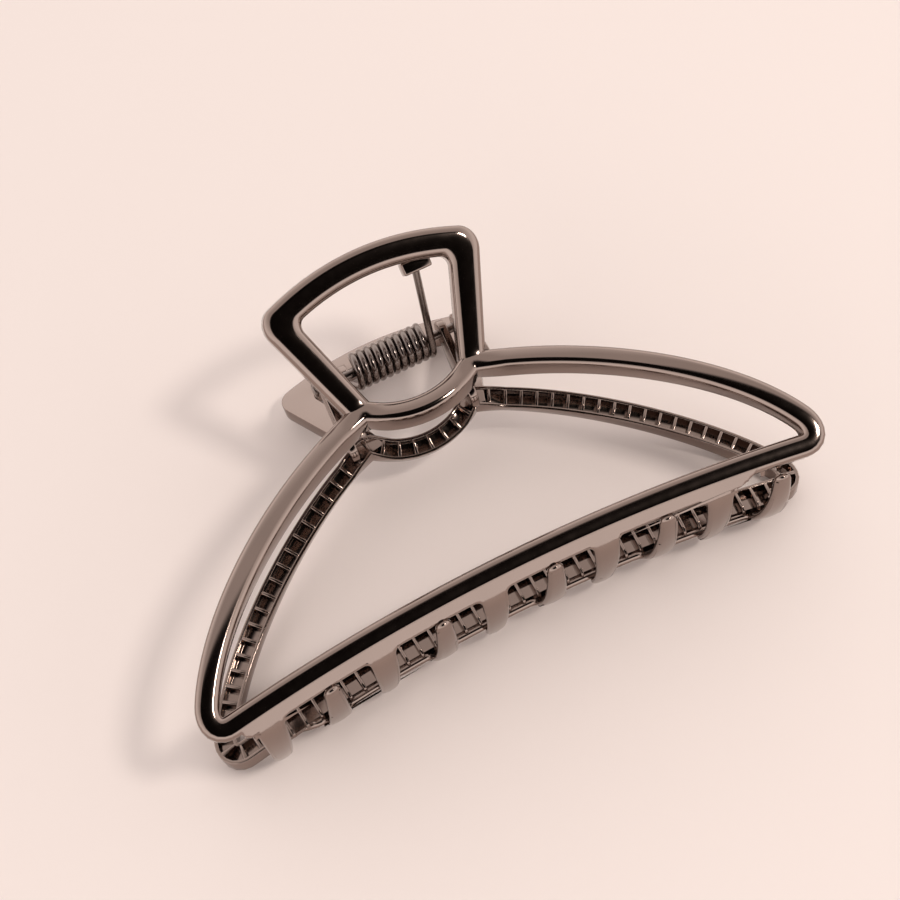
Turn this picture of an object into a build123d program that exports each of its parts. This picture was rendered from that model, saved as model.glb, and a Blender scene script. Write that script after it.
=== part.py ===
from build123d import *
import math
import os

os.makedirs("parts", exist_ok=True)

# Sizes in mm. The clip is drawn standing on its teeth: X along the clip, Y from the front
# jaw to the rear jaw, Z from the teeth up to the handles. Y = 0 is the middle plane.

# Frame of a jaw, seen square on; heights and half widths are of the middle of the casting
bar_half = 50.4
bar_bow = 4.3
neck_half = 9.2
neck_height = 36.7
neck_dip = 3.5
arch_start = -20
arch_end = -71
frame_width = 3.5
corner_inside = 0.8
neck_corner_inside = 0.5
corner_search = 1.0

# Handle loop, seen square on
handle_half = 16.3
handle_top = 55.9
handle_bow = 3.2
handle_width = 4.3
handle_corner = 3.8
junction_corner = 2.0

# Side view of a jaw: how far its middle lies from the middle plane
casting_depth = 3.5
bar_out = 9.4
bulge_out = 11.0
neck_out = 6.7
handle_out = 17.2
neck_bend = 6.0
crown_round = 1.3
run_past = 8.0
cut_far = 80.0

# Channel on the inner side, with its cross ribs
channel_rim = 0.6
channel_depth = 1.7
rib_pitch = 2.6
rib_thick = 0.7
recess_depth = 0.5

# Comb: a thin apron under the bar and the teeth that curve under the other jaw.
# Heights are measured down from the middle of the bar.
apron_thick = 1.3
apron_bottom = 3.4
apron_edge = 0.4
tooth_count = 5
tooth_pitch = 18.65
first_tooth = -42.3
tooth_thick = 1.1
tooth_root = 4.4
tooth_tip = 3.1
tooth_past = 2.1
tooth_flare = 2.2
tooth_flare_round = 2.1
tooth_knee = 3.0
tooth_knee_round = 1.4
tooth_belly = 5.05
tooth_belly_past = 1.0
tooth_end = 3.3
tooth_end_past = 1.0
tooth_end_rise = 0.25
tooth_play = 0.5

# Hinge
hinge_height = 46.8
pin_diameter = 1.5
pin_play = 0.1
pin_head_diameter = 2.4
pin_head = 0.6
pin_head_edge = 0.18
ear_thick = 1.4
ear_play = 0.4
ear_round = 2.1
ear_root_round = 2.2
ear_root_rise = 0.9
ear_root_inside = 1.2

# Spring
wire = 1.1
coil_turns = 10
coil_pitch = 1.25
coil_radius = 2.15
arm_end_below = 3.4
arm_end_inside = 1.74
pocket_wide = 4.6
pocket_tall = 3.2
pocket_deep = 2.8
pocket_shift = 0.3
pocket_play = 0.12
arm_hole_deep = 4.0


def direction(degrees):
    """Unit vector in the drawing plane at an angle from its first axis."""
    return Vector(math.cos(math.radians(degrees)), math.sin(math.radians(degrees)))


def two_arcs(start, start_angle, end, end_angle):
    """Two arcs that meet smoothly and leave and arrive at the given angles."""
    first_way = direction(start_angle)
    last_way = direction(end_angle)
    span = end - start
    a = 2 * (1 - first_way.dot(last_way))
    b = 2 * span.dot(first_way + last_way)
    c = -span.dot(span)
    reach = (-b + math.sqrt(b * b - 4 * a * c)) / (2 * a)
    middle = (start + first_way * reach + end - last_way * reach) * 0.5
    first = TangentArc(start, middle, tangent=first_way)
    second = TangentArc(middle, end, tangent=first % 1)
    return [first, second]


def plain_curve(edge):
    """The same line or arc drawn afresh, as a parallel curve doesn't export well."""
    if edge.geom_type == GeomType.LINE:
        return Line(edge @ 0, edge @ 1)
    return ThreePointArc(edge @ 0, edge @ 0.5, edge @ 1)


def flat(closed_wire):
    """Face inside a closed wire, always facing the same way."""
    face = Face(Wire([plain_curve(edge) for edge in closed_wire.edges()]))
    if face.normal_at().Z > 0:
        return face
    return -face


def corners_near(shape, half_width, height, reach=corner_search):
    """Corners on both sides of the middle line close to one place."""
    found = []
    for corner in shape.vertices():
        if abs(abs(corner.X) - half_width) < reach and abs(corner.Y - height) < reach:
            found.append(corner)
    return found


def frame_line():
    """Middle line of the D: tooth bar, arch and the dipped bar at the neck."""
    neck = Vector(neck_half, neck_height)
    corner = Vector(bar_half, 0)
    right = two_arcs(neck, arch_start, corner, arch_end)
    left = [edge.mirror(Plane.YZ) for edge in right]
    bar = ThreePointArc((-bar_half, 0), (0, bar_bow), (bar_half, 0))
    dip = ThreePointArc(
        (-neck_half, neck_height), (0, neck_height - neck_dip), (neck_half, neck_height)
    )
    line = Wire(right + [bar] + left + [dip])
    half = frame_width / 2
    line = line.fillet_2d(half + corner_inside, corners_near(line, bar_half, 0))
    return line.fillet_2d(half + neck_corner_inside, corners_near(line, neck_half, neck_height))


def handle_line():
    """Middle line of the fan-shaped handle, its feet run on through the frame's band."""
    shoulder = Vector(handle_half, handle_top - handle_bow)
    neck = Vector(neck_half, neck_height)
    foot = neck - (shoulder - neck).normalized() * frame_width
    right = Line(foot, shoulder)
    top = ThreePointArc((-shoulder.X, shoulder.Y), (0, handle_top), shoulder)
    line = Wire([right, top, right.mirror(Plane.YZ)])
    return line.fillet_2d(handle_corner, corners_near(line, shoulder.X, shoulder.Y))


def band(line, width):
    """Flat band of one width along an open line."""
    return flat(line.offset_2d(width / 2, side=Side.BOTH, closed=True))


def jaw_outline():
    """Outline of the D and its handle with rounded corners where they meet."""
    line = frame_line()
    outside = flat(line.offset_2d(frame_width / 2))
    opening = flat(line.offset_2d(-frame_width / 2))
    outline = (outside + band(handle_line(), handle_width)) - opening
    sharp = []
    for corner in corners_near(outline, neck_half, neck_height, handle_width + corner_search):
        if corner.Y > neck_height and is_sharp(outline, corner):
            sharp.append(corner)
    return fillet(sharp, junction_corner)


def is_sharp(outline, corner):
    """True where the outline changes direction at a corner."""
    ways = []
    for edge in outline.edges():
        for at in (0, 1):
            if (edge.position_at(at) - Vector(corner)).length < 0.001:
                ways.append(edge.tangent_at(at))
    return len(ways) == 2 and abs(ways[0].dot(ways[1])) < 0.98


def side_line():
    """Middle line of the casting in side view, from below the bar to above the handle."""
    bar = Vector(-bar_out, 0)
    neck = Vector(-neck_out, neck_height)
    curve = ThreePointArc(bar, (-bulge_out, neck_height / 2), neck)
    top = Vector(-handle_out, handle_top)
    rise = (top - neck).normalized()
    low = Line(bar - (curve % 0) * run_past, bar)
    high = Line(neck, top + rise * run_past)
    line = Wire([low, curve, high])
    bend = [corner for corner in line.vertices() if abs(corner.Y - neck_height) < 0.01]
    return line.fillet_2d(neck_bend, bend)


def side_layer(outer, inner):
    """Curved layer of the casting between two depths, measured inwards from its outer face."""
    line = side_line()
    shift = (outer + inner - casting_depth) / 2
    if shift > 0:
        line = line.offset_2d(shift, side=Side.RIGHT, closed=False)
    return extrude(Plane.YZ * band(line, inner - outer), amount=cut_far, both=True)


def place_ears():
    """Middle planes of the inner and the outer ear on the right-hand side."""
    coil_end = (coil_turns + 1) * coil_pitch / 2 + wire / 2
    inner = coil_end + ear_play + ear_thick / 2
    outer = inner + ear_thick + ear_play
    return inner, outer


def crowned_frame():
    """D and handle in one curved casting, its outer edges rounded to a crown."""
    plate = extrude(Plane.XZ * jaw_outline(), amount=cut_far)
    frame = plate & side_layer(0, casting_depth)
    uses = {}
    for face in frame.faces():
        way = face.normal_at()
        if way.Y < -0.3 and abs(way.X) < 0.2:
            for edge in face.edges():
                middle = edge.center()
                key = (round(middle.X, 3), round(middle.Y, 3), round(middle.Z, 3))
                uses.setdefault(key, []).append(edge)
    rim = [edges[0] for edges in uses.values() if len(edges) == 1]
    return frame.solid().fillet(crown_round, rim)


def channel_cells():
    """Hollows between the cross ribs on the inner side of the D."""
    line = frame_line()
    inset = channel_rim - frame_width / 2
    cells = flat(line.offset_2d(-inset)) - flat(line.offset_2d(inset))
    count = round(line.length / rib_pitch)
    ribs = []
    for number in range(count):
        at = (number + 0.5) / count
        spot = line.position_at(at)
        way = line.tangent_at(at)
        turn = math.degrees(math.atan2(way.Y, way.X))
        ribs.append(Pos(spot.X, spot.Y) * Rot(0, 0, turn) * Rectangle(rib_thick, frame_width))
    cells = cells - ribs
    layer = side_layer(casting_depth - channel_depth, casting_depth + channel_rim)
    return extrude(Plane.XZ * cells, amount=cut_far) & layer


def handle_recess():
    """Shallow hollow on the inner side of the handle, inside a thin rim."""
    inside = band(handle_line(), handle_width - 2 * channel_rim)
    foot = flat(frame_line().offset_2d(frame_width / 2 + channel_rim))
    layer = side_layer(casting_depth - recess_depth, casting_depth + channel_rim)
    return extrude(Plane.XZ * (inside - foot), amount=cut_far) & layer


def bow_turned(profile):
    """Profile in side view carried along the bow of the tooth bar."""
    radius = (bar_half**2 + bar_bow**2) / (2 * bar_bow)
    apron_half = bar_half - frame_width - corner_inside
    reach = math.degrees(math.asin(apron_half / radius))
    axis = Axis((0, 0, bar_bow - radius), (0, 1, 0))
    start = (Plane.YZ * profile).rotate(axis, -reach)
    return revolve(start, axis, revolution_arc=2 * reach)


def bow_height(x):
    """Height of the middle of the tooth bar."""
    radius = (bar_half**2 + bar_bow**2) / (2 * bar_bow)
    return bar_bow - radius + math.sqrt(radius**2 - x**2)


def tooth_reach():
    """How far the teeth reach over the middle plane."""
    return bar_out + tooth_past


def tooth_outline(x):
    """Tooth seen from above, with a flared root and a round tip."""
    root = -bar_out + apron_thick / 2
    back = -bar_out - apron_thick / 2
    end = tooth_reach() - tooth_tip / 2
    wide = tooth_root / 2 + tooth_flare
    shape = Polygon(
        (-wide, back),
        (wide, back),
        (wide, root),
        (tooth_root / 2, root),
        (tooth_tip / 2, end),
        (-tooth_tip / 2, end),
        (-tooth_root / 2, root),
        (-wide, root),
        align=None,
    )
    roots = []
    for corner in shape.vertices():
        if abs(abs(corner.X) - tooth_root / 2) < 0.01 and abs(corner.Y - root) < 0.01:
            roots.append(corner)
    shape = fillet(roots, tooth_flare_round)
    tip = Pos(0, end) * Circle(tooth_tip / 2)
    return Pos(x, 0) * (shape + tip)


def comb():
    """Apron under the tooth bar with its teeth, notched where the other jaw's teeth pass."""
    top = bar_bow - frame_width / 2 + channel_rim / 2
    bottom = bar_bow - apron_bottom
    apron = Pos(-bar_out, (top + bottom) / 2) * Rectangle(apron_thick, top - bottom)
    lower = [corner for corner in apron.vertices() if corner.Y < (top + bottom) / 2]
    apron = fillet(lower, apron_edge)

    knee = Vector(-bar_out, bar_bow - tooth_knee)
    belly = Vector(tooth_belly_past, bar_bow - tooth_belly)
    tip = Vector(tooth_reach() + tooth_end_past, bar_bow - tooth_end + tooth_end_rise)
    line = Wire([Line((-bar_out, top), knee), ThreePointArc(knee, belly, tip)])
    bend = [corner for corner in line.vertices() if (Vector(corner) - knee).length < 0.01]
    line = line.fillet_2d(tooth_knee_round, bend)
    blade = bow_turned(band(line, tooth_thick))

    places = [first_tooth + number * tooth_pitch for number in range(tooth_count)]
    whole = bow_turned(apron)
    for place in places:
        below = bow_height(place) - run_past
        column = extrude(Pos(0, 0, below) * tooth_outline(place), amount=run_past)
        whole = whole + (blade & column)
    notch_wide = tooth_tip + 2 * tooth_play
    notch_top = tooth_end - tooth_thick / 2 - tooth_play
    for place in places:
        middle = bow_height(place) - notch_top - apron_bottom / 2
        whole = whole - Pos(-place, -bar_out, middle) * Box(notch_wide, 2 * apron_thick, apron_bottom)
    return whole


def ear(x):
    """Lug that rises from the neck to the hinge axis."""
    tip = Pos(0, hinge_height) * Circle(ear_round)
    root = Pos(-neck_out + ear_root_inside, neck_height + ear_root_rise) * Circle(ear_root_round)
    plate = make_hull(tip.edges() + root.edges())
    hole = Pos(0, hinge_height) * Circle(pin_diameter / 2 + pin_play)
    return Pos(x - ear_thick / 2, 0, 0) * extrude(Plane.YZ * (plate - hole), amount=ear_thick)


def arm_points():
    """Where the front arm leaves the coil and where it ends inside the handle, as (Y, Z)."""
    axis = Vector(0, hinge_height)
    height = handle_top - arm_end_below
    share = (height - neck_height) / (handle_top - neck_height)
    out = neck_out + (handle_out - neck_out) * share - arm_end_inside
    end = Vector(-out, height)
    span = axis - end
    toward = math.atan2(span.Y, span.X) - math.asin(coil_radius / span.length)
    length = math.sqrt(span.length**2 - coil_radius**2)
    start = end + Vector(math.cos(toward), math.sin(toward)) * length
    return start, end


def arm_turn():
    """How far past the coil's lowest line an arm leaves it, in degrees."""
    start, end = arm_points()
    return math.degrees(math.atan2(-start.X, hinge_height - start.Y))


def arm_line():
    """Front arm from the right-hand end of the coil to its pocket."""
    start, end = arm_points()
    side = (coil_turns + 2 * arm_turn() / 360) * coil_pitch / 2
    slope = coil_pitch / (2 * math.pi * coil_radius)
    first = Vector(side, start.X, start.Y)
    last = Vector(side + slope * (end - start).length, end.X, end.Y)
    return first, last


def spring_pocket():
    """Small block under the handle's top bar with a hole for the spring's arm."""
    first, last = arm_line()
    lean = math.degrees(math.atan2(handle_out - neck_out, handle_top - neck_height))
    block = Box(pocket_wide, pocket_deep, pocket_tall)
    return Pos(last.X, last.Y - pocket_shift, last.Z) * Rot(lean, 0, 0) * block


def arm_hole():
    """Room for the spring's arm in its pocket."""
    first, last = arm_line()
    way = (last - first).normalized()
    plane = Plane(last - way * arm_hole_deep, z_dir=way)
    return extrude(plane * Circle(wire / 2 + pocket_play), amount=arm_hole_deep + pocket_play)


def jaw():
    """Front jaw in its own place."""
    inner, outer = place_ears()
    body = crowned_frame()
    body = body - channel_cells()
    body = body - handle_recess()
    body = body + comb()
    body = body + ear(inner) + ear(-outer)
    body = body + spring_pocket()
    return body - arm_hole()


def hinge_pin():
    """Pin through the four ears with a small head at each end."""
    inner, outer = place_ears()
    reach = outer + ear_thick / 2 + ear_play / 2
    pin = Cylinder(pin_diameter / 2, 2 * reach + pin_head)
    for side in (-1, 1):
        head = Cylinder(pin_head_diameter / 2, pin_head)
        head = fillet(head.edges().filter_by(GeomType.CIRCLE), pin_head_edge)
        pin = pin + Pos(0, 0, side * (reach + pin_head / 2)) * head
    return Pos(0, 0, hinge_height) * Rot(0, 90, 0) * pin


def spring():
    """Close coil round the pin with one arm up to each handle."""
    first, last = arm_line()
    coil = Helix(coil_pitch, 2 * first.X, coil_radius, lefthand=True)
    coil = Pos(-first.X, 0, hinge_height) * Rot(arm_turn(), 0, 0) * Rot(0, 90, 0) * coil
    front = Line(first, last)
    rear = Line((-last.X, -last.Y, last.Z), (-first.X, -first.Y, first.Z))
    path = Wire([rear] + coil.edges() + [front])
    start = Plane(path @ 0, z_dir=path % 0)
    return sweep(start * Circle(wire / 2), path=path)


def lying_angle():
    """Turn about X that rests the rear handle's edge and the front jaw's end teeth on a table."""
    rise = math.atan2(handle_out - neck_out, handle_top - neck_height)
    edge_height = handle_top + handle_width / 2 - crown_round
    edge_out = neck_out + (edge_height - neck_height) * math.tan(rise)
    edge_out = edge_out + (casting_depth / 2 - crown_round) / math.cos(rise)
    tip_height = bow_height(first_tooth) - tooth_end - tooth_thick / 2
    across = edge_out - tooth_reach()
    along = edge_height - tip_height
    lean = math.atan2(across, along) + math.asin(crown_round / math.hypot(across, along))
    return math.degrees(lean) - 90


def lay_down(piece):
    """Turn a piece from standing on its teeth to lying on the rear jaw."""
    return piece.rotate(Axis.X, lying_angle())


front = jaw()
rear = front.rotate(Axis.Z, 180)
pieces = {
    "front_jaw": front,
    "rear_jaw": rear,
    "hinge_pin": hinge_pin(),
    "spring": spring(),
}
laid = {name: lay_down(piece) for name, piece in pieces.items()}
extent = Compound(list(laid.values())).bounding_box()
centre = extent.center()
for name, piece in laid.items():
    export_step(Pos(-centre.X, -centre.Y, -extent.min.Z) * piece, f"parts/{name}.step")
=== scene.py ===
"""Looks of the metal hair claw clip: two cast jaws, a torsion spring and a hinge pin.

Everything is modelled in millimetres in the clip's own standing pose, X along the clip, Y from
the front jaw to the rear jaw and Z from the teeth to the handles, and then laid down on the
table with the frame.
"""

import logging
import math
from dataclasses import dataclass, field
from enum import Enum
from typing import ClassVar

import bmesh
import bpy
from mathutils import Matrix, Vector
from mathutils.geometry import interpolate_bezier


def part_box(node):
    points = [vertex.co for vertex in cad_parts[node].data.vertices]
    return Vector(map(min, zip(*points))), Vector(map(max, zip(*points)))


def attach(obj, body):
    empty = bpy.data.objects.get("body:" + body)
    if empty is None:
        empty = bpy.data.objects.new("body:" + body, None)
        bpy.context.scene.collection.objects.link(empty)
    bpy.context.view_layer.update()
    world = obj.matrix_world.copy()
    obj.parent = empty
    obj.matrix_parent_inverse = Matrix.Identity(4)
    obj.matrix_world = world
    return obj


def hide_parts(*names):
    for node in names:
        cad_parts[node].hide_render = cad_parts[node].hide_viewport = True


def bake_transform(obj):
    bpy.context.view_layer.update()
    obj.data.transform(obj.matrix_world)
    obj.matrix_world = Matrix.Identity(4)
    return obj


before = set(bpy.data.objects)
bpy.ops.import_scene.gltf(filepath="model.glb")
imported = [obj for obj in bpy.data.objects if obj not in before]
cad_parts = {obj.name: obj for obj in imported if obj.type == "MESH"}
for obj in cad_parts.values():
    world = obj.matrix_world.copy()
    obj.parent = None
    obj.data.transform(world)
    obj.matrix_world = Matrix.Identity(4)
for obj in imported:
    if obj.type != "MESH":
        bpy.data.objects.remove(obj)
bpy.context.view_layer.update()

log = logging.getLogger("hair_clip")
MM = 0.001
# Height of the pin's axis in the standing clip, in millimetres
HINGE_HEIGHT = 46.8
# Places closer than this, in millimetres, count as one
NEAR = 0.01
# Corners closer than this are merged, and a cut takes those this close to it, in millimetres
MERGE_WITHIN = 0.002
CUT_WITHIN = 0.0005


def linear(hex_colour: str) -> tuple[float, float, float, float]:
    """Turn an sRGB colour into Blender's linear one.

    Args:
        hex_colour: Six hex digits, with or without a leading mark.

    Returns:
        Red, green, blue and alpha.
    """
    digits = hex_colour.lstrip("#")
    values = [int(digits[at : at + 2], 16) / 255 for at in (0, 2, 4)]
    turned = [v / 12.92 if v <= 0.04045 else ((v + 0.055) / 1.055) ** 2.4 for v in values]
    return (turned[0], turned[1], turned[2], 1.0)


# Space of the clip


@dataclass(frozen=True)
class LyingPlace:
    """Where the standing clip goes when it lies on its rear jaw."""

    lying_angle: float = -82.33

    def matrix(self) -> Matrix:
        """Work out the turn and shift from the standing clip to the frame.

        Returns:
            The matrix, from millimetres to metres.
        """
        low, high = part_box("hinge_pin")
        hinge = (low + high) / 2
        turn = Matrix.Rotation(math.radians(self.lying_angle), 4, "X")
        lift = Matrix.Translation((0, 0, -HINGE_HEIGHT))
        return Matrix.Translation(hinge) @ Matrix.Scale(MM, 4) @ turn @ lift


class Side(Enum):
    """The two jaws are one casting: the rear one is turned half round."""

    FRONT = 0.0
    REAR = math.pi

    def matrix(self) -> Matrix:
        """Turn about the clip's upright axis."""
        return Matrix.Rotation(self.value, 4, "Z")


# Routes that the casting's bands follow


class Route:
    """A smooth line in the square-on view (x, z), read by its length."""

    def __init__(self, points: list[Vector], closed: bool) -> None:
        """Measure the line.

        Args:
            points: Close points along the line.
            closed: True where the last point meets the first.
        """
        self.points = [Vector((p[0], p[1])) for p in points]
        self.closed = closed
        self.lengths = [0.0]
        for first, second in zip(self.points, self.points[1:]):
            self.lengths.append(self.lengths[-1] + (second - first).length)
        self.total = self.lengths[-1]

    def at(self, length: float) -> Vector:
        """Find the point at a length along the line; a closed line goes round.

        Args:
            length: Length from the line's start.

        Returns:
            The point.
        """
        if self.closed:
            length = length % self.total
        length = min(max(length, 0.0), self.total)
        low, high = 0, len(self.lengths) - 1
        while high - low > 1:
            middle = (low + high) // 2
            if self.lengths[middle] <= length:
                low = middle
            else:
                high = middle
        span = self.lengths[high] - self.lengths[low]
        share = (length - self.lengths[low]) / span if span else 0.0
        return self.points[low].lerp(self.points[high], share)

    def length_near(self, place: Vector) -> float:
        """Length at which the line comes nearest to a place."""
        nearest = min(range(len(self.points)), key=lambda k: (self.points[k] - place).length)
        return self.lengths[nearest]


def spread(half: float, count: int) -> list[float]:
    """Places at even steps from -half to half."""
    return [half * (2 * step / count - 1) for step in range(count + 1)]


def bezier(start: Vector, pull: Vector, push: Vector, end: Vector, count: int = 240) -> list[Vector]:
    """Points of a Bezier curve in the square-on view."""
    return [Vector((p[0], p[1])) for p in interpolate_bezier(start, pull, push, end, count)]


def trimmed(points: list[Vector], start: float, end: float) -> list[Vector]:
    """A line without its first and last stretches.

    Args:
        points: The line.
        start: Length taken off at its start.
        end: Length taken off at its end.

    Returns:
        The points that are left, with new end points.
    """
    line = Route(points, False)
    kept = [p for p, s in zip(line.points, line.lengths) if start < s < line.total - end]
    return [line.at(start)] + kept + [line.at(line.total - end)]


def joined(lines: list[list[Vector]], pull: float, count: int = 60) -> list[Vector]:
    """One line out of several, each gap bridged by a rounded corner.

    Args:
        lines: Lines in order, with gaps between them.
        pull: How far a corner's handles reach, as a share of its gap.
        count: Points in each corner.

    Returns:
        The points of the whole line.
    """
    whole = list(lines[0])
    for line in lines[1:]:
        leave = (whole[-1] - whole[-2]).normalized()
        arrive = (line[1] - line[0]).normalized()
        reach = (line[0] - whole[-1]).length * pull
        corner = bezier(whole[-1], whole[-1] + leave * reach, line[0] - arrive * reach, line[0], count)
        whole = whole + corner[1:-1] + line
    return whole


def evened(points: list[Vector], count: int) -> list[Vector]:
    """The same line with its points a constant length apart."""
    line = Route(points, False)
    return [line.at(line.total * number / count) for number in range(count + 1)]


def mirrored(points: list[Vector]) -> list[Vector]:
    """A line's other half, from its far end back."""
    return [Vector((-p.x, p.y)) for p in reversed(points)]


@dataclass(frozen=True)
class HandleRail:
    """One edge of the handle in the square-on view, in millimetres."""

    LEG_STEPS: ClassVar[int] = 30
    TOP_STEPS: ClassVar[int] = 50
    CORNER_STEPS: ClassVar[int] = 16
    CORNER_PULL: ClassVar[float] = 0.4
    SETTLING_ROUNDS: ClassVar[int] = 30

    foot_half: float
    foot_height: float
    lean: float
    top: float
    bow: float
    corner_cut: float

    def shoulder_half(self) -> float:
        """Close in, round by round, on where the leaning leg meets the bowed top.

        Returns:
            The edge's half width there.
        """
        half = self.foot_half
        for _ in range(self.SETTLING_ROUNDS):
            half = self.foot_half + self.lean * (self.top - self.bow * half**2 - self.foot_height)
        return half

    def points(self) -> list[Vector]:
        """Draw the edge clockwise from its left foot: leg, rounded corner, bowed top, corner, leg.

        Returns:
            Points of the edge.
        """
        half = self.shoulder_half()
        foot = Vector((-self.foot_half, self.foot_height))
        shoulder = Vector((-half, self.top - self.bow * half**2))
        leg = evened(trimmed([foot, shoulder], 0.0, self.corner_cut), self.LEG_STEPS)
        bowed = [Vector((x, self.top - self.bow * x * x)) for x in spread(half, 80)]
        over = evened(trimmed(bowed, self.corner_cut, self.corner_cut), self.TOP_STEPS)
        other = mirrored(leg)
        return joined([leg, over, other], self.CORNER_PULL, self.CORNER_STEPS)


@dataclass
class JawForm:
    """Sizes of one jaw, in millimetres, with the surface that its bands lie on."""

    CORNER_PULL: ClassVar[float] = 0.56
    BAR_STEPS: ClassVar[int] = 200
    NECK_STEPS: ClassVar[int] = 60
    # Steps to either side over which the surface's slope and a route's way are taken
    SLOPE_STEP: ClassVar[float] = 0.05
    WAY_STEP: ClassVar[float] = 0.15

    bar_half: float = 50.4
    bar_bow: float = 4.3
    arch_foot: float = 1.6
    neck_half: float = 9.2
    neck_height: float = 36.7
    neck_dip: float = 3.5
    arch_start: float = -20.0
    arch_end: float = -71.0
    arch_start_pull: float = 19.5
    arch_end_pull: float = 12.3
    corner_cut: float = 3.3
    neck_corner_cut: float = 1.6
    handle_top: float = 55.9
    bar_out: float = 8.0
    bulge_out: float = 9.9
    neck_out: float = 6.65
    handle_out: float = 17.2
    end_growth: float = 1.83
    growth_half: float = 50.0
    neck_bend: float = 2.2
    handle_outer: HandleRail = HandleRail(11.2, 35.2, 0.431, 57.55, 0.0107, 3.2)
    handle_inner: HandleRail = HandleRail(6.9, 35.7, 0.39, 53.6, 0.0125, 1.5)

    def out(self, x: float, z: float) -> float:
        """Work out how far the middle of the casting is from the clip's middle plane.

        Args:
            x: Place along the clip.
            z: Height in the standing clip.

        Returns:
            The distance.
        """
        half = self.neck_height / 2
        bend = (self.bar_out + self.neck_out - 2 * self.bulge_out) / (2 * half**2)
        slope = (self.neck_out - self.bar_out) / self.neck_height - bend * self.neck_height
        low = self.bar_out + slope * z + bend * z * z
        neck_slope = slope + 2 * bend * self.neck_height
        over = z - self.neck_height
        if over > 0:
            low = self.neck_out + neck_slope * over
        handle_slope = (self.handle_out - self.neck_out) / (self.handle_top - self.neck_height)
        if over > self.neck_bend:
            rise = over
        elif over > -self.neck_bend:
            rise = (over + self.neck_bend) ** 2 / (4 * self.neck_bend)
        else:
            rise = 0.0
        growth = self.end_growth * (x / self.growth_half) ** 2
        return low + (handle_slope - neck_slope) * rise + growth

    def spot(self, x: float, z: float) -> Vector:
        """Point of the front jaw's middle surface."""
        return Vector((x, -self.out(x, z), z))

    def outward(self, x: float, z: float) -> Vector:
        """Work out the direction out of the front jaw's middle surface.

        Args:
            x: Place along the clip.
            z: Height in the standing clip.

        Returns:
            A direction of unit length.
        """
        step = self.SLOPE_STEP
        across = (self.out(x + step, z) - self.out(x - step, z)) / (2 * step)
        along = (self.out(x, z + step) - self.out(x, z - step)) / (2 * step)
        return Vector((-across, -1.0, -along)).normalized()

    def bar_height(self, x: float) -> float:
        """Height of the middle of the tooth bar."""
        return self.bar_bow * (1 - (x / self.bar_half) ** 2)

    def arch(self) -> list[Vector]:
        """Draw the right half of the arch from the neck down to the corner.

        Returns:
            Points of the arch.
        """
        start = Vector((self.neck_half, self.neck_height))
        end = Vector((self.bar_half, self.arch_foot))
        first, last = math.radians(self.arch_start), math.radians(self.arch_end)
        pull = start + Vector((math.cos(first), math.sin(first))) * self.arch_start_pull
        push = end - Vector((math.cos(last), math.sin(last))) * self.arch_end_pull
        return bezier(start, pull, push, end)

    def bar(self) -> list[Vector]:
        """Tooth bar from right to left."""
        return [Vector((x, self.bar_height(x))) for x in spread(-self.bar_half, self.BAR_STEPS)]

    def neck(self) -> list[Vector]:
        """Draw the dipped bar at the neck from left to right.

        Returns:
            Points of the neck.
        """
        radius = (self.neck_half**2 + self.neck_dip**2) / (2 * self.neck_dip)
        bottom = self.neck_height - self.neck_dip
        places = spread(self.neck_half, self.NECK_STEPS)
        return [Vector((x, bottom + radius - math.sqrt(radius**2 - x * x))) for x in places]

    def frame_route(self) -> Route:
        """Join the D, clockwise from the middle of the neck.

        Returns:
            The closed route.
        """
        neck = self.neck()
        middle = len(neck) // 2
        corner, small = self.corner_cut, self.neck_corner_cut
        right = self.arch()
        left = mirrored(right)
        lines = [
            trimmed(neck[middle:], 0.0, small),
            trimmed(right, small, corner),
            trimmed(self.bar(), corner, corner),
            trimmed(left, corner, small),
            trimmed(neck[: middle + 1], small, 0.0),
        ]
        return Route(joined(lines, self.CORNER_PULL), True)

    def lay(self, bm: bmesh.types.BMesh, route: Route) -> None:
        """Bend a straight bar onto the jaw's surface along a route.

        Args:
            bm: Bar along +X from zero, its width along Y and its outside towards +Z.
            route: Line that the bar's middle follows.
        """
        step = self.WAY_STEP
        places: dict[float, tuple[Vector, Vector, Vector]] = {}
        for vert in bm.verts:
            key = round(vert.co.x, 4)
            if key not in places:
                here = route.at(key)
                before, after = route.at(key - step), route.at(key + step)
                way = self.spot(after.x, after.y) - self.spot(before.x, before.y)
                normal = self.outward(here.x, here.y)
                way = (way - normal * way.dot(normal)).normalized()
                places[key] = (self.spot(here.x, here.y), normal.cross(way), normal)
            place, across, normal = places[key]
            vert.co = place + across * vert.co.y + normal * vert.co.z


# Shared mesh helpers


def verts_of(made: dict[str, list[object]]) -> list[bmesh.types.BMVert]:
    """Vertices among what an extrusion made."""
    return [item for item in made["geom"] if isinstance(item, bmesh.types.BMVert)]


def rounded(
    bm: bmesh.types.BMesh, geom: list[object], radius: float, segments: int, affect: str = "EDGES"
) -> None:
    """Round edges, or the corners of a flat sheet.

    Args:
        bm: The mesh.
        geom: Its edges, or its corner vertices.
        radius: How far the rounding reaches.
        segments: Steps of the rounding.
        affect: "EDGES" or "VERTICES".
    """
    bmesh.ops.bevel(
        bm,
        geom=geom,
        offset=radius,
        offset_type="OFFSET",
        segments=segments,
        profile=0.5,
        affect=affect,
        material=-1,
    )


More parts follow.
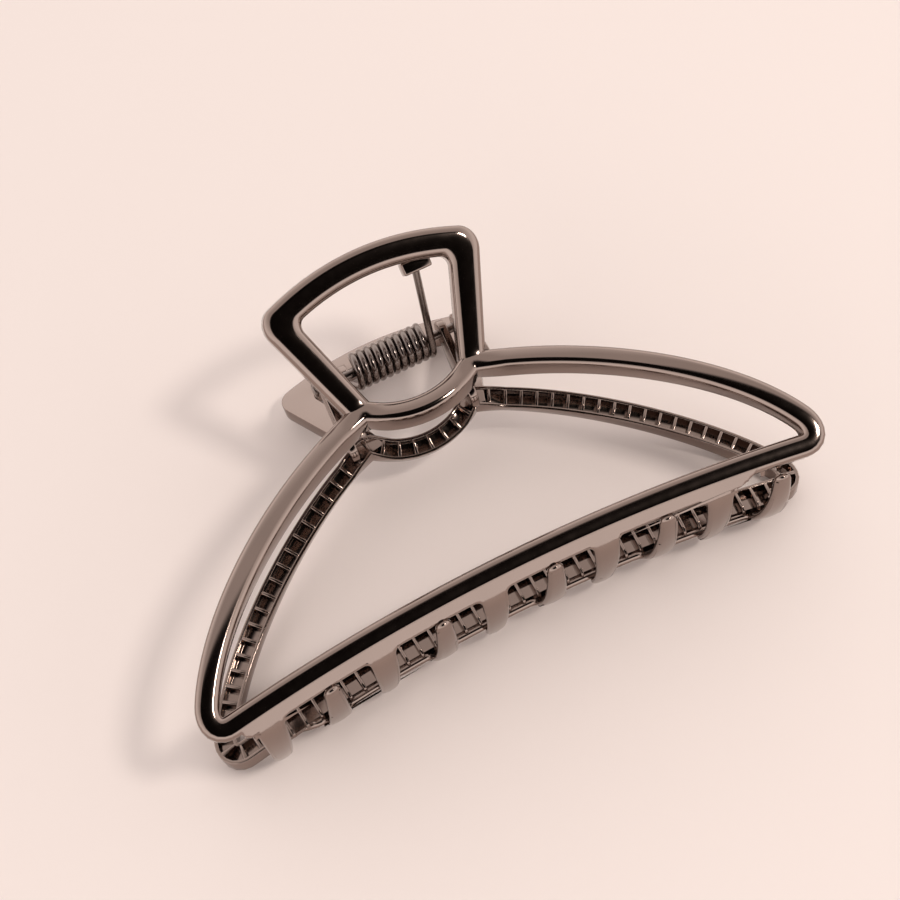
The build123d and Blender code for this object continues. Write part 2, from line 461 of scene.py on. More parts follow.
def bar_section(
    width: float,
    depth: float,
    crown: float,
    dome: float,
    rim: float,
    channel: float,
    inner_round: float = 0.16,
) -> bmesh.types.BMesh:
    """Section of a band as one face in the plane x = 0.

    Args:
        width: Across the band.
        depth: From its inner side to its crown.
        crown: Radius of its outer edges.
        dome: How far the crown falls from its middle to its sides.
        rim: Width of the rims beside the channel on its inner side.
        channel: Depth of that channel, or 0 for a plain inner side.
        inner_round: Radius of the edges on the inner side.

    Returns:
        A mesh with one face, its width along Y and its outside towards +Z.
    """
    bm = bmesh.new()
    half, low, high = width / 2, -depth / 2, depth / 2
    corners = [(half, low), (half, high), (-half, high), (-half, low)]
    if channel:
        floor = low + channel
        corners += [(rim - half, low), (rim - half, floor), (half - rim, floor), (half - rim, low)]
    bm.faces.new([bm.verts.new((0.0, across, up)) for across, up in corners])
    outer = [v for v in bm.verts if v.co.z > high - NEAR]
    inner = [v for v in bm.verts if v.co.z < high - NEAR]
    rounded(bm, inner, inner_round, 3, "VERTICES")
    rounded(bm, outer, crown, 10, "VERTICES")
    split = [e for e in bm.edges if all(v.co.z > high - NEAR for v in e.verts)]
    bmesh.ops.subdivide_edges(bm, edges=split, cuts=3)
    for vert in bm.verts:
        if vert.co.z > high - crown:
            share = (vert.co.z - high + crown) / crown
            vert.co.z -= dome * share * (vert.co.y / half) ** 2
    return bm


def swept(section: bmesh.types.BMesh, stations: list[float]) -> bmesh.types.BMesh:
    """Carry a section face along +X through stations, open at both ends.

    Args:
        section: A mesh with one face in the plane x = 0.
        stations: Places along X.

    Returns:
        The same mesh, now a tube.
    """
    face = section.faces[:][0]
    ring = face.edges[:]
    bmesh.ops.delete(section, geom=[face], context="FACES_ONLY")
    for before, after in zip(stations, stations[1:]):
        out = bmesh.ops.extrude_edge_only(section, edges=ring)
        verts = verts_of(out)
        bmesh.ops.translate(section, vec=(after - before, 0, 0), verts=verts)
        ring = [item for item in out["geom"] if isinstance(item, bmesh.types.BMEdge)]
        far = set(verts)
        ring = [edge for edge in ring if edge.verts[0] in far and edge.verts[1] in far]
    bmesh.ops.recalc_face_normals(section, faces=section.faces[:])
    return section


def sharp_edges(bm: bmesh.types.BMesh, angle: float = 60.0) -> list[bmesh.types.BMEdge]:
    """Edges between two faces that bend by more than an angle."""
    limit = math.radians(angle)
    return [e for e in bm.edges if len(e.link_faces) == 2 and e.calc_face_angle(0.0) > limit]


def finished(
    bm: bmesh.types.BMesh,
    name: str,
    material: bpy.types.Material,
    place: Matrix,
    body: str,
    smooth_under: float = 38.0,
) -> bpy.types.Object:
    """Make the mesh an object of the frame, shaded smooth, that rides on a body.

    Args:
        bm: The mesh, in millimetres in the standing pose; it is freed.
        name: Name of the piece.
        material: Its finish.
        place: From the standing pose to the frame.
        body: Body that it rides on.
        smooth_under: Edges that bend by more degrees than this stay crisp.

    Returns:
        The object.
    """
    bmesh.ops.transform(bm, matrix=place, verts=bm.verts[:])
    # A shape that its route or its side view mirrors comes out with its faces inwards
    if bm.calc_volume(signed=True) < 0:
        bmesh.ops.reverse_faces(bm, faces=bm.faces[:])
    for face in bm.faces:
        face.smooth = True
    for edge in bm.edges:
        edge.smooth = edge.calc_face_angle(0.0) < math.radians(smooth_under)
    mesh = bpy.data.meshes.new(name)
    bm.to_mesh(mesh)
    bm.free()
    mesh.materials.append(material)
    piece = bpy.data.objects.new(name, mesh)
    bpy.context.scene.collection.objects.link(piece)
    if body:
        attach(piece, body)
    log.info("%s: %d faces", name, len(mesh.polygons))
    return piece


# Finishes


def noise_scale(patch_mm: float) -> float:
    """Scale of a noise on Object coordinates whose patches are this size."""
    return 1.0 / (patch_mm * MM)


def node(
    tree: bpy.types.NodeTree,
    kind: str,
    settings: dict[str, object] | None = None,
    links: dict[str, object] | None = None,
) -> bpy.types.Node:
    """Add a node with its settings and links.

    Args:
        tree: Node tree of the material.
        kind: Blender's name of the node.
        settings: Attributes by name, and input values by "in:" and the input's name or number.
        links: Output sockets by the name or number of the input that they feed.

    Returns:
        The new node.
    """
    made = tree.nodes.new(kind)
    for key, value in (settings or {}).items():
        if key.startswith("in:"):
            socket = key[3:]
            made.inputs[int(socket) if socket.isdigit() else socket].default_value = value
        else:
            setattr(made, key, value)
    for key, output in (links or {}).items():
        tree.links.new(output, made.inputs[int(key) if key.isdigit() else key])
    return made


@dataclass(frozen=True)
class BlackNickel:
    """Black nickel plating on polished die-cast zinc: a dark, warm grey mirror, a little softened."""

    name: str = "black_nickel_plated_zinc"
    shade: str = "#887A73"
    rub: str = "#92827A"
    roughness_low: float = 0.1
    roughness_high: float = 0.12
    drift_mm: float = 8.3
    cloud_mm: float = 1.43
    ripple_mm: float = 3.0
    ripple_height_mm: float = 0.0006

    def build(self) -> bpy.types.Material:
        """Make the plating's material.

        Returns:
            The material.
        """
        material = bpy.data.materials.new(self.name)
        material.use_nodes = True
        tree = material.node_tree
        tree.nodes.clear()
        place = node(tree, "ShaderNodeTexCoord").outputs["Object"]
        # The plating's tone drifts between a neutral and a brownish grey over about a centimetre
        drift = node(
            tree,
            "ShaderNodeTexNoise",
            {"in:Scale": noise_scale(self.drift_mm), "in:Detail": 3.0},
            {"Vector": place},
        )
        tone = node(
            tree,
            "ShaderNodeMix",
            {"data_type": "RGBA", "in:6": linear(self.shade), "in:7": linear(self.rub)},
            {"0": drift.outputs["Fac"]},
        )
        # Buffing leaves cloudy patches a millimetre or two across
        clouds = node(
            tree,
            "ShaderNodeTexNoise",
            {"in:Scale": noise_scale(self.cloud_mm), "in:Detail": 4.0},
            {"Vector": place},
        )
        gloss = node(
            tree,
            "ShaderNodeMapRange",
            {"in:1": 0.35, "in:2": 0.7, "in:3": self.roughness_low, "in:4": self.roughness_high},
            {"0": clouds.outputs["Fac"]},
        )
        # A cast and polished face is never quite even: reflections wander a little along the bands
        ripple = node(
            tree,
            "ShaderNodeTexNoise",
            {"in:Scale": noise_scale(self.ripple_mm), "in:Detail": 2.0},
            {"Vector": place},
        )
        bump = node(
            tree,
            "ShaderNodeBump",
            {"in:Strength": 0.5, "in:Distance": self.ripple_height_mm * MM},
            {"Height": ripple.outputs["Fac"]},
        )
        shader = node(
            tree,
            "ShaderNodeBsdfPrincipled",
            {"in:Metallic": 1.0},
            {"Base Color": tone.outputs[2], "Roughness": gloss.outputs[0], "Normal": bump.outputs["Normal"]},
        )
        node(tree, "ShaderNodeOutputMaterial", links={"Surface": shader.outputs[0]})
        return material


@dataclass(frozen=True)
class SpringWire:
    """Drawn spring steel wire, plated dark like the castings: shiny along the wire."""

    name: str = "plated_spring_wire"
    shade: str = "#7B716C"
    roughness_low: float = 0.13
    roughness_high: float = 0.26
    draw_mm: float = 1.11

    def build(self) -> bpy.types.Material:
        """Make the wire's material.

        Returns:
            The material.
        """
        material = bpy.data.materials.new(self.name)
        material.use_nodes = True
        tree = material.node_tree
        tree.nodes.clear()
        place = node(tree, "ShaderNodeTexCoord").outputs["Object"]
        # Drawing and coiling leave the plating duller in spots as large as the wire is thick
        draw = node(
            tree,
            "ShaderNodeTexNoise",
            {"in:Scale": noise_scale(self.draw_mm), "in:Detail": 3.0},
            {"Vector": place},
        )
        gloss = node(
            tree,
            "ShaderNodeMapRange",
            {"in:3": self.roughness_low, "in:4": self.roughness_high},
            {"0": draw.outputs["Fac"]},
        )
        shader = node(
            tree,
            "ShaderNodeBsdfPrincipled",
            {"in:Metallic": 1.0, "in:Base Color": linear(self.shade)},
            {"Roughness": gloss.outputs[0]},
        )
        node(tree, "ShaderNodeOutputMaterial", links={"Surface": shader.outputs[0]})
        return material


# The jaws


@dataclass
class Jaw:
    """One casting: the D with its ribbed channel, the handle, the comb, the ears and the pocket."""

    # How far the roundings beside the channel's corners may reach
    ROUNDING_REACH: ClassVar[float] = 0.2
    # How far a rib sinks into the channel's floor and walls, and stays below its rims
    RIB_SINK: ClassVar[float] = 0.3
    RIB_BITE: ClassVar[float] = 0.15
    RIB_SHY: ClassVar[float] = 0.04
    # Over the teeth a rib runs out along the apron: its outline's corners, across and outwards
    RIB_SHOULDER: ClassVar[float] = 1.5
    RIB_AT_LIP: ClassVar[tuple[tuple[float, float], ...]] = ((2.3, -1.15), (2.44, -0.35))
    RIB_FOOT: ClassVar[float] = 1.4
    # On the inner side of this depth a rib is as thin as its top
    RIB_TAPER_FROM: ClassVar[float] = -0.25
    # Stations along the D for each rib, and along the side view of the apron and of a tooth
    STATIONS_A_RIB: ClassVar[int] = 4
    APRON_STEPS: ClassVar[int] = 20
    TOOTH_STEPS: ClassVar[int] = 120
    # Rounding of a tooth's tip, as a share of its width there
    TIP_ROUND: ClassVar[float] = 0.48
    # Spacing of the cuts that let the flat comb bend, along the teeth and along the bar
    TOOTH_CUT: ClassVar[float] = 0.6
    BAR_CUT: ClassVar[int] = 1
    # Beside a tooth, its dome falls no further than at this many half widths
    DOME_LIMIT: ClassVar[float] = 1.3
    # Step to either side over which the comb's way is taken
    WAY_STEP: ClassVar[float] = 0.1

    side: Side
    body: str
    node_name: str
    form: JawForm = field(default_factory=JawForm)
    band_width: float = 3.5
    band_depth: float = 3.5
    crown: float = 0.95
    dome: float = 0.27
    rim: float = 0.6
    channel_depth: float = 2.1
    trough_depth: float = 1.7
    rib_pitch: float = 2.6
    rib_thick: float = 0.9
    rib_top: float = 0.55
    rib_round: float = 0.2
    trough_half: float = 44.6
    handle_width: float = 4.3
    handle_depth: float = 3.3
    handle_crown: float = 1.2
    apron_length: float = 2.15
    apron_lap: float = 0.1
    apron_thick: float = 1.2
    apron_past_teeth: float = 1.3
    apron_left_run: float = 1.0
    apron_right_run: float = 4.2
    apron_slope: tuple[float, float] = (0.656, -0.755)
    lip_inset: float = 0.1
    lip_drop: float = 3.1
    edge_round: float = 0.5
    tooth_thick: float = 1.15
    tooth_dome: float = 0.3
    tooth_count: int = 5
    tooth_pitch: float = 18.65
    first_tooth: float = -42.3
    tooth_root: float = 4.4
    tooth_tip: float = 2.6
    tooth_flare: float = 0.9
    tooth_thins_over: float = 4.0
    tooth_crowns_over: float = 3.0
    tooth_start_pull: float = 3.2
    tooth_end_pull: tuple[float, float] = (3.2, -6.3)
    tooth_end: tuple[float, float] = (9.5, -3.75)
    inner_ear: float = 9.4
    outer_ear: float = 12.2
    ear_thick: float = 1.4
    ear_round: float = 2.1
    ear_root_round: float = 3.0
    ear_root_in: float = 1.2
    ear_root_height: float = 37.6
    ear_edge: float = 0.25
    pocket_size: tuple[float, float, float] = (4.7, 2.8, 2.1)
    pocket_shift: tuple[float, float, float] = (0.3, 0.1, 0.7)
    pocket_edge: float = 0.3

    def frame_band(self) -> bmesh.types.BMesh:
        """Make the D: crowned outside, a rimmed channel with cross ribs inside.

        Along the teeth the channel has no lower rim: its floor runs on into the apron.

        Returns:
            The band in the standing pose.
        """
        route = self.form.frame_route()
        count = round(route.total / self.rib_pitch)
        cell = route.total / count
        section = bar_section(
            self.band_width, self.band_depth, self.crown, self.dome, self.rim, self.channel_depth
        )
        steps = self.STATIONS_A_RIB
        bm = swept(section, [cell * step / steps for step in range(steps * count + 1)])
        first, last = [
            route.length_near(Vector((x, self.form.bar_height(x))))
            for x in (self.trough_half, -self.trough_half)
        ]
        low = -self.band_depth / 2
        floor = low + self.trough_depth
        wall = self.band_width / 2 - self.rim
        for vert in bm.verts:
            if not first < vert.co.x < last:
                continue
            if vert.co.y > wall - self.ROUNDING_REACH and vert.co.z < floor:
                vert.co.z = floor
            elif abs(vert.co.y) < wall + NEAR and vert.co.z < low + self.channel_depth + NEAR:
                vert.co.z = min(vert.co.z, floor)
        for number in range(count):
            middle = number * cell
            self.rib(bm, middle, first < middle < last)
        self.form.lay(bm, route)
        bmesh.ops.remove_doubles(bm, verts=bm.verts[:], dist=MERGE_WITHIN)
        return bm

    def rib(self, bm: bmesh.types.BMesh, middle: float, reaches_lip: bool) -> None:
        """Add one cross rib to the channel of the straight band.

        Args:
            bm: The band.
            middle: Where the rib stands along it.
            reaches_lip: True over the teeth, where it runs on down the apron.
        """
        low = -self.band_depth / 2
        floor = low + self.channel_depth + self.RIB_SINK
        side = self.band_width / 2 - self.rim + self.RIB_BITE
        top = low + self.RIB_SHY
        near_end = [(side, top), (side, floor)]
        if reaches_lip:
            near_end = [(self.RIB_SHOULDER, top), *self.RIB_AT_LIP, (self.RIB_FOOT, floor)]
        outline = [(-side, top), *near_end, (-side, floor)]
        plate = bmesh.new()
        plate.faces.new([plate.verts.new((middle - self.rib_thick / 2, y, z)) for y, z in outline])
        out = bmesh.ops.extrude_face_region(plate, geom=plate.faces[:])
        bmesh.ops.translate(plate, vec=(self.rib_thick, 0, 0), verts=verts_of(out))
        for vert in plate.verts:
            if vert.co.z < self.RIB_TAPER_FROM:
                vert.co.x = middle + (vert.co.x - middle) * self.rib_top / self.rib_thick
        bmesh.ops.recalc_face_normals(plate, faces=plate.faces[:])
        tops = [e for e in plate.edges if all(v.co.z < self.RIB_TAPER_FROM for v in e.verts)]
        rounded(plate, tops, self.rib_round, 3)
        mesh = bpy.data.meshes.new("rib")
        plate.to_mesh(mesh)
        plate.free()
        bm.from_mesh(mesh)
        bpy.data.meshes.remove(mesh)

    def handle_band(self) -> bmesh.types.BMesh:
        """Make the handle between its two edges: a crowned band, widest in its corners.

        Returns:
            The band.
        """
        outer = self.form.handle_outer.points()
        inner = self.form.handle_inner.points()
        section = bar_section(
            self.handle_width, self.handle_depth, self.handle_crown, self.dome, self.rim, 0.0
        )
        bm = swept(section, [float(number) for number in range(len(outer))])
        bmesh.ops.holes_fill(bm, edges=[edge for edge in bm.edges if edge.is_boundary])
        for vert in bm.verts:
            number = round(vert.co.x)
            spot = inner[number].lerp(outer[number], vert.co.y / self.handle_width + 0.5)
            normal = self.form.outward(spot.x, spot.y)
            vert.co = self.form.spot(spot.x, spot.y) + normal * vert.co.z
        return bm

    def comb_path(self) -> Route:
        """Draw the side view of the comb's outer face, off the crown and along a tooth.

        Returns:
            The route, as (y, z) from the bar.
        """
        lip = Vector((-self.form.bar_out + self.lip_inset, -self.lip_drop))
        slope = Vector(self.apron_slope)
        start = lip - slope * self.apron_length
        apron = [start.lerp(lip, step / self.APRON_STEPS) for step in range(self.APRON_STEPS + 1)]
        pull = lip + slope * self.tooth_start_pull
        tooth = bezier(lip, pull, Vector(self.tooth_end_pull), Vector(self.tooth_end), self.TOOTH_STEPS)
        return Route(apron + tooth[1:], False)

    def tooth_centres(self) -> list[float]:
        """Places of the teeth along the bar."""
        return [self.first_tooth + number * self.tooth_pitch for number in range(self.tooth_count)]

    def comb_sheet(self, apron_end: float, length: float) -> bmesh.types.BMesh:
        """Apron and teeth cut out flat, the bar along X and the teeth along Y.

        Args:
            apron_end: Where the apron ends between the teeth.
            length: Where the teeth end.

        Returns:
            One flat sheet.
        """
        low_marks = [self.first_tooth - self.tooth_root / 2 - self.apron_past_teeth]
        for centre in self.tooth_centres():
            low_marks += [centre - self.tooth_root / 2, centre + self.tooth_root / 2]
        low_marks.append(low_marks[-1] + self.apron_past_teeth)
        ends = [low_marks[0] - self.apron_left_run, low_marks[-1] + self.apron_right_run]
        top_marks = [ends[0], *low_marks[1:-1], ends[1]]
        bm = bmesh.new()
        top = [bm.verts.new((x, 0.0, 0.0)) for x in top_marks]
        low = [bm.verts.new((x, apron_end, 0.0)) for x in low_marks]
        for at in range(len(low_marks) - 1):
            bm.faces.new((top[at], low[at], low[at + 1], top[at + 1]))
        for at, centre in enumerate(self.tooth_centres()):
            foot = next(e for e in bm.edges if set(e.verts) == {low[2 * at + 1], low[2 * at + 2]})
            out = bmesh.ops.extrude_edge_only(bm, edges=[foot])
            for vert in verts_of(out):
                vert.co.y = length
                vert.co.x = centre + math.copysign(self.tooth_tip / 2, vert.co.x - centre)
        bmesh.ops.dissolve_limit(bm, angle_limit=0.01, verts=bm.verts[:], edges=bm.edges[:])
        edge = [v for v in bm.verts if abs(v.co.y - apron_end) < NEAR]
        feet = [v for v in edge if low_marks[0] < v.co.x < low_marks[-1]]
        rounded(bm, feet, self.tooth_flare, 6, "VERTICES")
        tips = [v for v in bm.verts if v.co.y > length - NEAR]
        rounded(bm, tips, self.tooth_tip * self.TIP_ROUND, 7, "VERTICES")
        for number in range(1, int(length / self.TOOTH_CUT)):
            cut_across(bm, Vector((0, number * self.TOOTH_CUT, 0)), Vector((0, 1, 0)))
        for place in range(int(ends[0]), int(ends[1]) + 1, self.BAR_CUT):
            cut_across(bm, Vector((place, 0, 0)), Vector((1, 0, 0)))
        return bm

    def comb(self) -> bmesh.types.BMesh:
        """Make apron and teeth as one sheet, rounded along every free edge, bent under the other jaw.

        Returns:
            The comb in the standing pose.
        """
        path = self.comb_path()
        apron_end = self.apron_length + self.apron_lap
        bm = self.comb_sheet(apron_end, path.total)
        out = bmesh.ops.extrude_face_region(bm, geom=bm.faces[:])
        bmesh.ops.translate(bm, vec=(0, 0, -1.0), verts=verts_of(out))
        bmesh.ops.recalc_face_normals(bm, faces=bm.faces[:])
        # 1 mm thick so far, and from here on as thick as the apron and the teeth
        for vert in bm.verts:
            share = min(max((vert.co.y - apron_end) / self.tooth_thins_over, 0.0), 1.0)
            vert.co.z *= self.apron_thick + (self.tooth_thick - self.apron_thick) * share
        free = [e for e in sharp_edges(bm) if max(v.co.y for v in e.verts) > NEAR]
        rounded(bm, free, self.edge_round, 4)
        self.bend_comb(bm, path)
        return bm

    def bend_comb(self, bm: bmesh.types.BMesh, path: Route) -> None:
        """Lay the flat comb along its side view and the bow of the tooth bar, and crown its teeth.

        Args:
            bm: The flat comb.
            path: Side view of its outer face.
        """
        centres = self.tooth_centres()
        for vert in bm.verts:
            x, along, off = vert.co
            past = along - self.apron_length
            centre = min(centres, key=lambda place: abs(place - x))
            share = min(max(past / (path.total - self.apron_length), 0.0), 1.0)
            half = (self.tooth_root + (self.tooth_tip - self.tooth_root) * share) / 2
            rise = min(max(past / self.tooth_crowns_over, 0.0), 1.0)
            over = min(abs(x - centre) / half, self.DOME_LIMIT)
            off -= self.tooth_dome * over**2 * rise * (off + self.tooth_thick) / self.tooth_thick
            here = path.at(along)
            way = (path.at(along + self.WAY_STEP) - path.at(along - self.WAY_STEP)).normalized()
            normal = Vector((way.y, -way.x))
            growth = self.form.out(x, self.form.bar_height(x)) - self.form.bar_out
            growth *= max(0.0, 1 - along / path.total)
            vert.co = Vector(
                (x, here.x + normal.x * off - growth, self.form.bar_height(x) + here.y + normal.y * off)
            )

    def ear(self, x: float) -> bmesh.types.BMesh:
        """Make a lug from the neck up to the hinge.

        Args:
            x: Place of its middle along the pin.

        Returns:
            The lug.
        """
        bm = bmesh.new()
        root = Vector((0, self.ear_root_in - self.form.neck_out, self.ear_root_height))
        tip = Vector((0, 0, HINGE_HEIGHT))
        turn = Matrix.Rotation(math.pi / 2, 4, "Y")
        for spot, radius in ((root, self.ear_root_round), (tip, self.ear_round)):
            place = Matrix.Translation(spot) @ turn
            bmesh.ops.create_circle(bm, cap_ends=False, segments=28, radius=radius, matrix=place)
        both = bmesh.ops.extrude_edge_only(bm, edges=bm.edges[:])
        bmesh.ops.translate(bm, vec=(self.ear_thick, 0, 0), verts=verts_of(both))
        hull = bmesh.ops.convex_hull(bm, input=bm.verts[:])
        inside = dict.fromkeys(hull["geom_interior"] + hull["geom_unused"])
        unused = [g for g in inside if isinstance(g, bmesh.types.BMVert)]
        bmesh.ops.delete(bm, geom=unused, context="VERTS")
        keep = [g for g in hull["geom"] if isinstance(g, bmesh.types.BMFace)]
        extra = [f for f in bm.faces if f not in set(keep)]
        bmesh.ops.delete(bm, geom=extra, context="FACES_ONLY")
        bmesh.ops.dissolve_limit(bm, angle_limit=0.02, verts=bm.verts[:], edges=bm.edges[:])
        bmesh.ops.recalc_face_normals(bm, faces=bm.faces[:])
        rounded(bm, sharp_edges(bm), self.ear_edge, 3)
        bmesh.ops.translate(bm, vec=(x - self.ear_thick / 2, 0, 0), verts=bm.verts[:])
        return bm

    def pocket(self, arm_end: Vector) -> bmesh.types.BMesh:
        """Make the small block under the handle's top bar that takes the end of the spring's arm.

        Args:
            arm_end: Where the arm ends.

        Returns:
            The block.
        """
        bm = bmesh.new()
        form = self.form
        lean = math.atan2(form.handle_out - form.neck_out, form.handle_top - form.neck_height)
        place = Matrix.Translation(arm_end + Vector(self.pocket_shift)) @ Matrix.Rotation(lean, 4, "X")
        bmesh.ops.create_cube(bm, size=1.0, matrix=place @ Matrix.Diagonal((*self.pocket_size, 1.0)))
        rounded(bm, bm.edges[:], self.pocket_edge, 3)
        return bm

    def build(self, material: bpy.types.Material, place: Matrix, arm_end: Vector) -> list[bpy.types.Object]:
        """Model the casting and stand it in for its solid.

        Args:
            material: Finish of the casting.
            place: From the standing pose to the frame.
            arm_end: Where the spring's arm ends on the front jaw.

        Returns:
            The pieces of the casting.
        """
        prefix = self.node_name
        makers = {
            "frame": self.frame_band(),
            "handle": self.handle_band(),
            "comb": self.comb(),
            "inner_ear": self.ear(-self.inner_ear),
            "outer_ear": self.ear(self.outer_ear),
            "pocket": self.pocket(arm_end),
        }
        pieces = []
        for name, bm in makers.items():
            where = place @ self.side.matrix()
            piece = finished(bm, f"{prefix}_{name}", material, where, self.body)
            pieces.append(piece)
        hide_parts(self.node_name)
        return pieces


def cut_across(bm: bmesh.types.BMesh, spot: Vector, normal: Vector) -> None:
    """Divide a mesh along a plane and keep both sides."""
    everything = bm.verts[:] + bm.edges[:] + bm.faces[:]
    bmesh.ops.bisect_plane(bm, geom=everything, dist=CUT_WITHIN, plane_co=spot, plane_no=normal)


# Spring and pin


@dataclass
class TorsionSpring:
    """Close coil round the pin with one arm up to each handle."""

    STEPS_A_TURN: ClassVar[int] = 36
    WIRE_SIDES: ClassVar[int] = 14

    wire: float = 1.2
    pitch: float = 1.28
    turns: int = 10
    radius: float = 2.6
    arm_end_out: float = 13.6
    arm_end_height: float = 52.5

    def arm(self) -> tuple[Vector, Vector]:
        """Work out where the front arm leaves the coil, and its end.

        Returns:
            The arm's start and end.
        """
        axis = Vector((0.0, HINGE_HEIGHT))
        end = Vector((-self.arm_end_out, self.arm_end_height))
        span = axis - end
        toward = math.atan2(span.y, span.x) - math.asin(self.radius / span.length)
        length = math.sqrt(span.length_squared - self.radius**2)
        start = end + Vector((math.cos(toward), math.sin(toward))) * length
        extra = 2 * math.atan2(-start.x, HINGE_HEIGHT - start.y) / (2 * math.pi)
        side = (self.turns + extra) * self.pitch / 2
        slope = self.pitch / (2 * math.pi * self.radius)
        return Vector((side, start.x, start.y)), Vector((side + slope * length, end.x, end.y))

    def build(self, material: bpy.types.Material, place: Matrix) -> bpy.types.Object:
        """Model the spring, which in the real clip twists between the two jaws; here it is built in one
        fixed pose.

        Args:
            material: Finish of the wire.
            place: From the standing pose to the frame.

        Returns:
            The spring.
        """
        first, last = self.arm()
        bm = bmesh.new()
        begin = Vector((-first.x, -first.y, first.z))
        radial = (begin - Vector((begin.x, 0, HINGE_HEIGHT))).normalized()
        way = radial.cross(Vector((1, 0, 0)))
        if way.y > 0:
            way = -way
        axes = Matrix((Vector((1, 0, 0)), radial, way)).transposed().to_4x4()
        there = Matrix.Translation(begin) @ axes
        ring = bmesh.ops.create_circle(
            bm, cap_ends=False, segments=self.WIRE_SIDES, radius=self.wire / 2, matrix=there
        )
        steps = self.STEPS_A_TURN * self.turns
        extra = 2 * math.atan2(-first.y, HINGE_HEIGHT - first.z)
        angle = 2 * math.pi * self.turns + extra
        start_ring = list(ring["verts"])
        spin = bmesh.ops.spin(
            bm,
            geom=bm.edges[:],
            cent=Vector((0, 0, HINGE_HEIGHT)),
            axis=Vector((-1, 0, 0)),
            dvec=Vector((2 * first.x / steps, 0, 0)),
            angle=angle,
            steps=steps,
            use_merge=False,
            use_normal_flip=False,
            use_duplicate=False,
        )
        end_ring = [g for g in spin["geom_last"] if isinstance(g, bmesh.types.BMVert)]
        self.arm_from(bm, end_ring, last - first)
        turned = Vector((-(last.x - first.x), -(last.y - first.y), last.z - first.z))
        self.arm_from(bm, start_ring, turned)
        bmesh.ops.recalc_face_normals(bm, faces=bm.faces[:])
        piece = finished(bm, "torsion_spring", material, place, "", 60)
        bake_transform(piece)
        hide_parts("spring")
        return piece

    def arm_from(self, bm: bmesh.types.BMesh, ring: list[bmesh.types.BMVert], reach: Vector) -> None:
        """Draw a straight arm out of a ring of the coil and close its end.

        Args:
            bm: The coil.
            ring: Vertices at one end of it.
            reach: From the ring to the arm's end.
        """
        members = set(ring)
        edges = [e for e in bm.edges if e.verts[0] in members and e.verts[1] in members]
        out = bmesh.ops.extrude_edge_only(bm, edges=edges)
        verts = verts_of(out)
        bmesh.ops.translate(bm, vec=reach, verts=verts)
        bmesh.ops.contextual_create(bm, geom=verts)


@dataclass
class HingePin:
    """Steel pin with a low rounded head at each end."""

    diameter: float = 1.5
    head_diameter: float = 2.4
    head: float = 0.6
    head_round: float = 0.2
    reach: float = 13.3

    def build(self, material: bpy.types.Material, place: Matrix) -> bpy.types.Object:
        """Model the pin and stand it in for its solid.

        Args:
            material: Finish of the pin.
            place: From the standing pose to the frame.

        Returns:
            The pin.
        """
        bm = bmesh.new()
        turn = Matrix.Translation((0, 0, HINGE_HEIGHT)) @ Matrix.Rotation(math.pi / 2, 4, "Y")
        radius = self.diameter / 2
        bmesh.ops.create_cone(
            bm,
            cap_ends=True,
            segments=28,
            radius1=radius,
            radius2=radius,
            depth=2 * self.reach,
            matrix=turn,
        )
        for end in (-1, 1):
            there = turn @ Matrix.Translation((0, 0, end * (self.reach + self.head / 2)))
            wide = self.head_diameter / 2
            made = bmesh.ops.create_cone(
                bm, cap_ends=True, segments=32, radius1=wide, radius2=wide, depth=self.head, matrix=there
            )
            head = set(made["verts"])
            rims = [edge for edge in sharp_edges(bm) if edge.verts[0] in head]
            rounded(bm, rims, self.head_round, 3)
        piece = finished(bm, "hinge_pin_polished", material, place, "rear_body")
        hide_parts("hinge_pin")
        return piece


# Studio


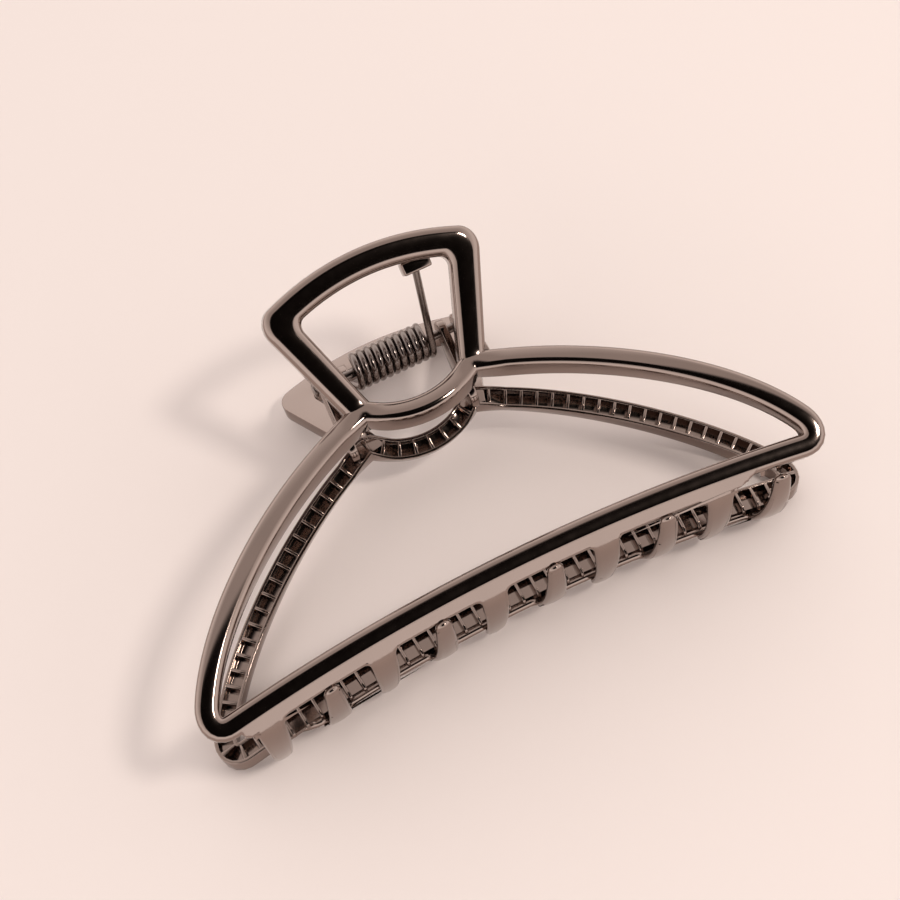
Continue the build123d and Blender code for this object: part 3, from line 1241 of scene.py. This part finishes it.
@dataclass
class Studio:
    """Plain pale floor, soft lights and the camera."""

    camera_at: tuple[float, float, float] = (-39.43, -114.37, 234.52)
    camera_aim: tuple[float, float, float] = (-1.23, -6.53, 28.10)
    camera_roll: float = -8.05
    lens: float = 63.38
    floor_half: float = 1.6
    floor_shade: str = "#F0E5E0"
    room_shade: str = "#FFF8F5"
    overhead_shade: str = "#BDB4B0"
    overhead_from: float = 0.35
    overhead_full: float = 0.85
    dark_shade: str = "#0E0B0A"
    dark_toward: tuple[float, float, float] = (-0.02, -0.46, 0.886)
    dark_half: float = 34.0
    dark_edge: float = 4.0
    room_strength: float = 1.66
    key_at: tuple[float, float, float] = (0.43, -0.34, 0.84)
    key_size: float = 0.13
    key_watts: float = 2.6

    def build(self) -> None:
        """Set up the whole studio, shown with plain tones as a camera would."""
        bpy.context.scene.view_settings.view_transform = "Standard"
        self.floor()
        self.lights()
        self.camera()

    def floor(self) -> None:
        """Pale matt ground that the clip lies on."""
        bm = bmesh.new()
        bmesh.ops.create_grid(bm, x_segments=2, y_segments=2, size=self.floor_half)
        mesh = bpy.data.meshes.new("studio_floor")
        bm.to_mesh(mesh)
        bm.free()
        ground = bpy.data.objects.new("studio_floor", mesh)
        material = bpy.data.materials.new("matt_pale_floor")
        material.use_nodes = True
        shader = material.node_tree.nodes["Principled BSDF"]
        shader.inputs["Base Color"].default_value = linear(self.floor_shade)
        shader.inputs["Roughness"].default_value = 0.9
        mesh.materials.append(material)
        bpy.context.scene.collection.objects.link(ground)

    def lights(self) -> None:
        """A small crisp key from the right of the teeth and the bright room."""
        self.area("key", self.key_at, self.key_size, self.key_watts, "#FFF6EE")
        self.room()

    def room(self) -> None:
        """Bright pale room, dimmer overhead, with a soft dark patch that the crowned bands mirror."""
        world = bpy.data.worlds.new("room")
        bpy.context.scene.world = world
        world.use_nodes = True
        tree = world.node_tree
        place = node(tree, "ShaderNodeTexCoord").outputs["Generated"]
        middle = Vector(self.dark_toward).normalized()
        toward = node(
            tree, "ShaderNodeVectorMath", {"operation": "DOT_PRODUCT", "in:1": tuple(middle)}, {"0": place}
        )
        inner, outer = (math.cos(math.radians(self.dark_half + turn * self.dark_edge)) for turn in (-1, 1))
        share = node(
            tree,
            "ShaderNodeMapRange",
            {"interpolation_type": "SMOOTHSTEP", "in:1": outer, "in:2": inner},
            {"0": toward.outputs["Value"]},
        )
        height = node(tree, "ShaderNodeSeparateXYZ", links={"0": place}).outputs["Z"]
        climb = node(
            tree,
            "ShaderNodeMapRange",
            {"in:1": self.overhead_from, "in:2": self.overhead_full},
            {"0": height},
        )
        around = node(
            tree,
            "ShaderNodeMix",
            {"data_type": "RGBA", "in:6": linear(self.room_shade), "in:7": linear(self.overhead_shade)},
            {"0": climb.outputs[0]},
        )
        tone = node(
            tree,
            "ShaderNodeMix",
            {"data_type": "RGBA", "in:7": linear(self.dark_shade)},
            {"0": share.outputs[0], "6": around.outputs[2]},
        )
        tree.links.new(tone.outputs[2], tree.nodes["Background"].inputs["Color"])
        tree.nodes["Background"].inputs["Strength"].default_value = self.room_strength

    def area(
        self, name: str, at: tuple[float, float, float], size: float, watts: float, shade: str
    ) -> None:
        """Add a square soft light that looks at the clip.

        Args:
            name: Name of the light.
            at: Its place, in metres.
            size: Length of its sides, in metres.
            watts: Its power.
            shade: Its colour.
        """
        light = bpy.data.lights.new(name, "AREA")
        light.size = size
        light.energy = watts
        light.color = linear(shade)[:3]
        lamp = bpy.data.objects.new(name, light)
        lamp.location = at
        lamp.rotation_euler = (-Vector(at)).to_track_quat("-Z", "Y").to_euler()
        bpy.context.scene.collection.objects.link(lamp)

    def camera(self) -> None:
        """Camera at the photograph's angle."""
        lens = bpy.data.cameras.new("camera")
        lens.lens = self.lens
        lens.sensor_width = 36.0
        lens.clip_start = 0.01
        eye = bpy.data.objects.new("camera", lens)
        at, aim = Vector(self.camera_at) * MM, Vector(self.camera_aim) * MM
        turn = (aim - at).to_track_quat("-Z", "Y").to_matrix().to_4x4()
        roll = Matrix.Rotation(math.radians(self.camera_roll), 4, "Z")
        eye.matrix_world = Matrix.Translation(at) @ turn @ roll
        bpy.context.scene.collection.objects.link(eye)
        bpy.context.scene.camera = eye


def main() -> None:
    """Build the clip piece by piece and report each."""
    logging.basicConfig(level=logging.INFO, format="%(message)s")
    place = LyingPlace().matrix()
    plating = BlackNickel().build()
    wire = SpringWire().build()
    coil = TorsionSpring()
    arm_end = coil.arm()[1]
    Jaw(Side.FRONT, "front_body", "front_jaw").build(plating, place, arm_end)
    Jaw(Side.REAR, "rear_body", "rear_jaw").build(plating, place, arm_end)
    coil.build(wire, place)
    HingePin().build(wire, place)
    Studio().build()


if __name__ == "__main__":
    main()
